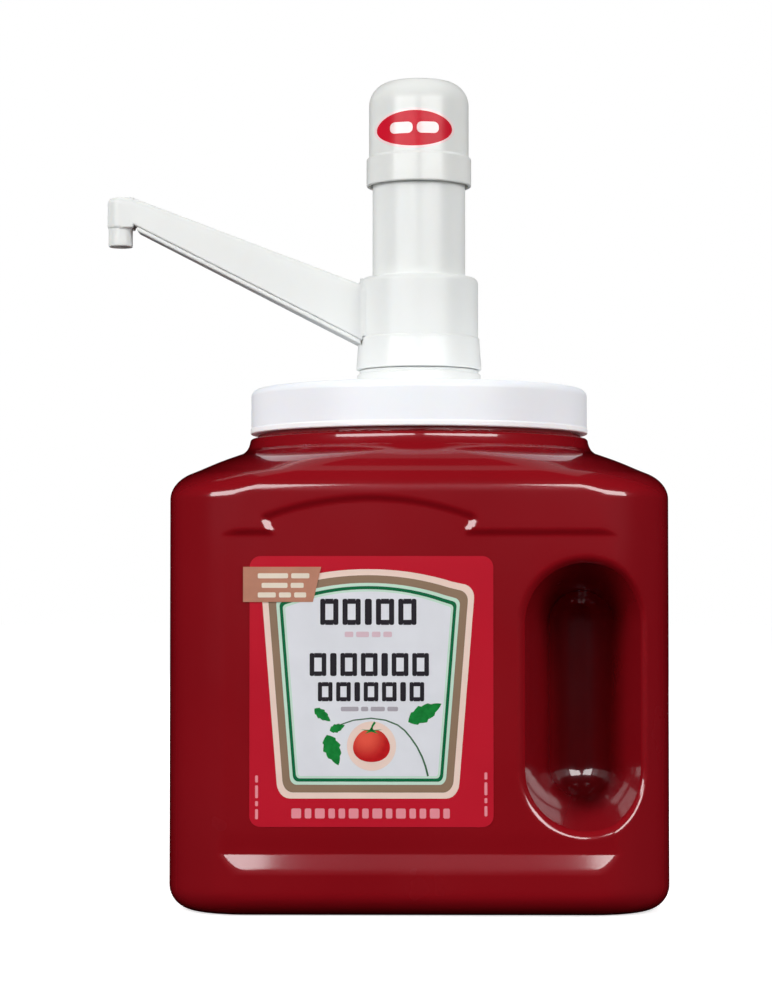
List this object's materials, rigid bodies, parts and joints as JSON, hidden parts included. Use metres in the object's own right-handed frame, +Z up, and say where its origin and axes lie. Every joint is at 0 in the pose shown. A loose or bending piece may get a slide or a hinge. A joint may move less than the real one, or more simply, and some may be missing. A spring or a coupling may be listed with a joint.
{
  "type": "condiment pump dispenser",
  "caption": "Tabletop condiment dispenser: a broad jug with pinch-grip recesses, a wide screw lid, and a swivelling push pump with a long upswept spout.",
  "frame": {"origin": "middle of the jug's resting face, on the axis of the neck, lid and pump", "axes": "+Z up along the pump's axis; the labelled front of the jug faces -Y; the spout points to -X"},
  "size_m": [0.1867, 0.1408, 0.2753],
  "materials": {
    "jug_pet": "gloss",
    "ketchup": "satin",
    "label_film": "satin",
    "flag_film": "satin",
    "badge_film": "gloss",
    "lid_plastic": "satin",
    "liner_board": "matte",
    "pump_plastic": "gloss",
    "barrel_plastic": "satin",
    "tube_plastic": "satin",
    "seal_rubber": "matte",
    "stainless": "satin"
  },
  "bodies": {
    "jug": {"jug_shell": "jug_pet", "ketchup_fill": "ketchup", "front_label": "label_film", "back_label": "label_film", "corner_flag": "flag_film"},
    "liner": {"lid_liner": "liner_board"},
    "lid": {"lid": "lid_plastic", "swivel_ring": "pump_plastic", "pump_gasket": "seal_rubber"},
    "pump": {"pump_body": "pump_plastic", "spout_arm": "pump_plastic", "spout_cover": "pump_plastic", "outlet_seat": "barrel_plastic", "gland_ring": "barrel_plastic", "wiper_seal": "seal_rubber", "barrel": "barrel_plastic", "barrel_seal": "seal_rubber", "lock_nut": "barrel_plastic", "dip_tube": "tube_plastic", "valve_cage": "barrel_plastic", "return_spring": "stainless"},
    "plunger": {"knob": "pump_plastic", "knob_badge": "badge_film", "plunger_sleeve": "pump_plastic", "plunger_plug": "barrel_plastic", "plug_oring": "seal_rubber"},
    "inlet_ball": {"inlet_ball": "stainless"},
    "outlet_ball": {"outlet_ball": "stainless"}
  },
  "joints": [
    {"name": "lid_rise", "type": "slide", "parent": "jug", "child": "liner", "axis": [0, 0, 1], "range_m": [0, 0.0064]},
    {"name": "lid_turn", "type": "hinge", "parent": "liner", "child": "lid", "pos_m": [0, 0, 0.158], "axis": [0, 0, 1], "range_deg": [0, 450]},
    {"name": "pump_swivel", "type": "hinge", "parent": "lid", "child": "pump", "pos_m": [0, 0, 0.1765], "axis": [0, 0, 1], "continuous": true},
    {"name": "plunger_slide", "type": "slide", "parent": "pump", "child": "plunger", "axis": [0, 0, -1], "range_m": [0, 0.03], "stiffness_N_per_m": 500, "springref_m": -0.016, "deforming": ["return_spring"]},
    {"name": "inlet_ball_lift", "type": "slide", "parent": "pump", "child": "inlet_ball", "axis": [0, 0, 1], "range_m": [0, 0.0035]},
    {"name": "outlet_ball_lift", "type": "slide", "parent": "pump", "child": "outlet_ball", "axis": [-0.9153, 0, 0.4027], "range_m": [0, 0.004]}
  ],
  "couplings": [
    {"joint": "lid_rise", "follows": "lid_turn", "m_per_rad": 0.00080851}
  ]
}
